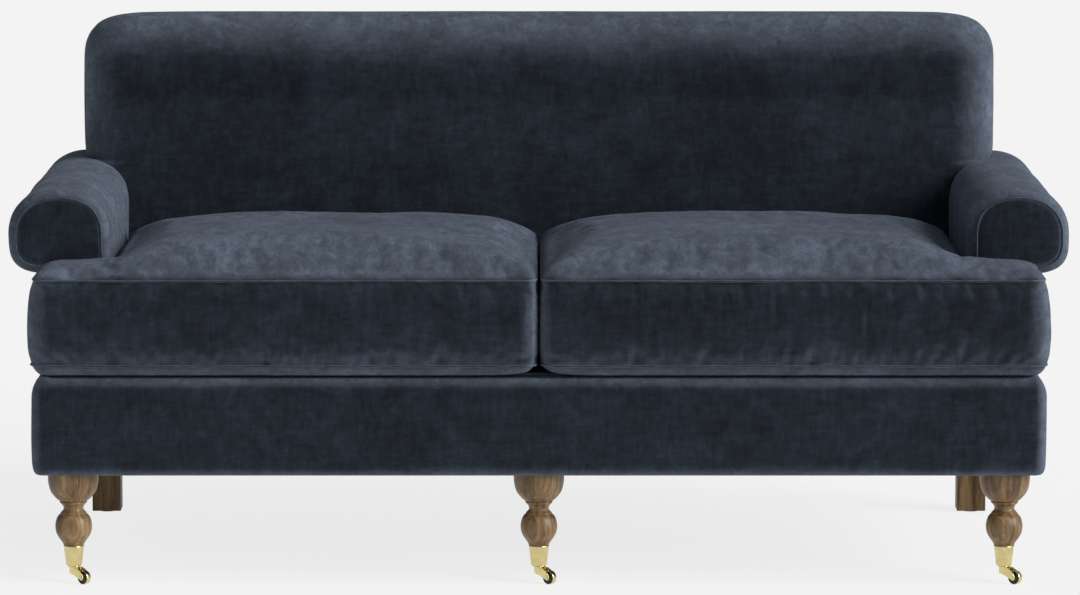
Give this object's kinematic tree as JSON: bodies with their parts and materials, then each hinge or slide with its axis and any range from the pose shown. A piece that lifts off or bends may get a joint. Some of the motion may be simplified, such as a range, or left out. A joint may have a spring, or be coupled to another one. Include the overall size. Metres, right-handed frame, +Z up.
{
  "type": "two-seat sofa",
  "caption": "Two-seat rolled-arm sofa with a tight back, loose T-shaped seat cushions, turned wooden front legs on brass cup casters and square rear legs.",
  "frame": {"origin": "on the floor, in the middle of the sofa's width and overall depth", "axes": "+Z up, the front of the seat faces -Y, +X to the right as seen from the front; the long way of the sofa is along X"},
  "size_m": [1.829, 0.92, 0.924],
  "materials": {
    "frame_timber": "matte",
    "spring_steel": "satin",
    "foam": "matte",
    "velvet": "matte",
    "lining": "matte",
    "walnut": "satin",
    "glide": "matte",
    "brass": "polished",
    "axle_steel": "satin",
    "wheel_black": "satin",
    "zip_tape": "matte",
    "zip_metal": "satin"
  },
  "bodies": {
    "root": {"front_rail": "frame_timber", "rear_rail": "frame_timber", "side_rails": "frame_timber", "centre_stretcher": "frame_timber", "corner_blocks": "frame_timber", "back_posts": "frame_timber", "back_centre_post": "frame_timber", "back_top_rail": "frame_timber", "back_lower_rail": "frame_timber", "arm_scroll_boards": "frame_timber", "arm_top_boards": "frame_timber", "arm_slats": "frame_timber", "seat_springs": "spring_steel", "back_springs": "spring_steel", "spring_clips": "spring_steel", "deck_padding": "foam", "deck_cover": "velvet", "back_padding": "foam", "back_cover": "velvet", "outside_back": "velvet", "arm_padding_left": "foam", "arm_padding_right": "foam", "arm_cover_left": "velvet", "arm_cover_right": "velvet", "arm_facing_left": "velvet", "arm_facing_right": "velvet", "arm_facing_welts": "velvet", "base_padding": "foam", "base_cover": "velvet", "dust_cover": "lining", "front_leg_left": "walnut", "front_leg_centre": "walnut", "front_leg_right": "walnut", "rear_leg_left": "walnut", "rear_leg_right": "walnut", "leg_bolts": "spring_steel", "leg_nuts": "spring_steel", "rear_glides": "glide", "caster_cups": "brass", "cup_screws": "brass"},
    "caster_left": {"caster_horn_left": "brass", "caster_axle_left": "axle_steel"},
    "wheel_left": {"caster_wheel_left": "wheel_black"},
    "caster_centre": {"caster_horn_centre": "brass", "caster_axle_centre": "axle_steel"},
    "wheel_centre": {"caster_wheel_centre": "wheel_black"},
    "caster_right": {"caster_horn_right": "brass", "caster_axle_right": "axle_steel"},
    "wheel_right": {"caster_wheel_right": "wheel_black"},
    "seat_cushion_left": {"cushion_core_left": "foam", "cushion_cover_left": "velvet", "cushion_welts_left": "velvet", "cushion_zip_left": "zip_tape"},
    "zip_slider_left": {"zip_pull_left": "zip_metal"},
    "seat_cushion_right": {"cushion_core_right": "foam", "cushion_cover_right": "velvet", "cushion_welts_right": "velvet", "cushion_zip_right": "zip_tape"},
    "zip_slider_right": {"zip_pull_right": "zip_metal"}
  },
  "joints": [
    {"name": "caster_swivel_left", "type": "hinge", "parent": "root", "child": "caster_left", "pos_m": [-0.798, -0.393, 0.032], "axis": [0, 0, 1], "continuous": true},
    {"name": "wheel_spin_left", "type": "hinge", "parent": "caster_left", "child": "wheel_left", "pos_m": [-0.77961, -0.40843, 0.012], "axis": [0.6428, 0.766, 0], "continuous": true},
    {"name": "caster_swivel_centre", "type": "hinge", "parent": "root", "child": "caster_centre", "pos_m": [0, -0.393, 0.032], "axis": [0, 0, 1], "continuous": true},
    {"name": "wheel_spin_centre", "type": "hinge", "parent": "caster_centre", "child": "wheel_centre", "pos_m": [0.01839, -0.40843, 0.012], "axis": [0.6428, 0.766, 0], "continuous": true},
    {"name": "caster_swivel_right", "type": "hinge", "parent": "root", "child": "caster_right", "pos_m": [0.798, -0.393, 0.032], "axis": [0, 0, 1], "continuous": true},
    {"name": "wheel_spin_right", "type": "hinge", "parent": "caster_right", "child": "wheel_right", "pos_m": [0.81639, -0.40843, 0.012], "axis": [0.6428, 0.766, 0], "continuous": true},
    {"name": "cushion_lift_left", "type": "slide", "parent": "root", "child": "seat_cushion_left", "axis": [0, 0, 1], "range_m": [0, 0.35]},
    {"name": "zip_slide_left", "type": "slide", "parent": "seat_cushion_left", "child": "zip_slider_left", "axis": [1, 0, 0], "range_m": [0, 0.57]},
    {"name": "cushion_lift_right", "type": "slide", "parent": "root", "child": "seat_cushion_right", "axis": [0, 0, 1], "range_m": [0, 0.35]},
    {"name": "zip_slide_right", "type": "slide", "parent": "seat_cushion_right", "child": "zip_slider_right", "axis": [-1, 0, 0], "range_m": [0, 0.57]}
  ]
}
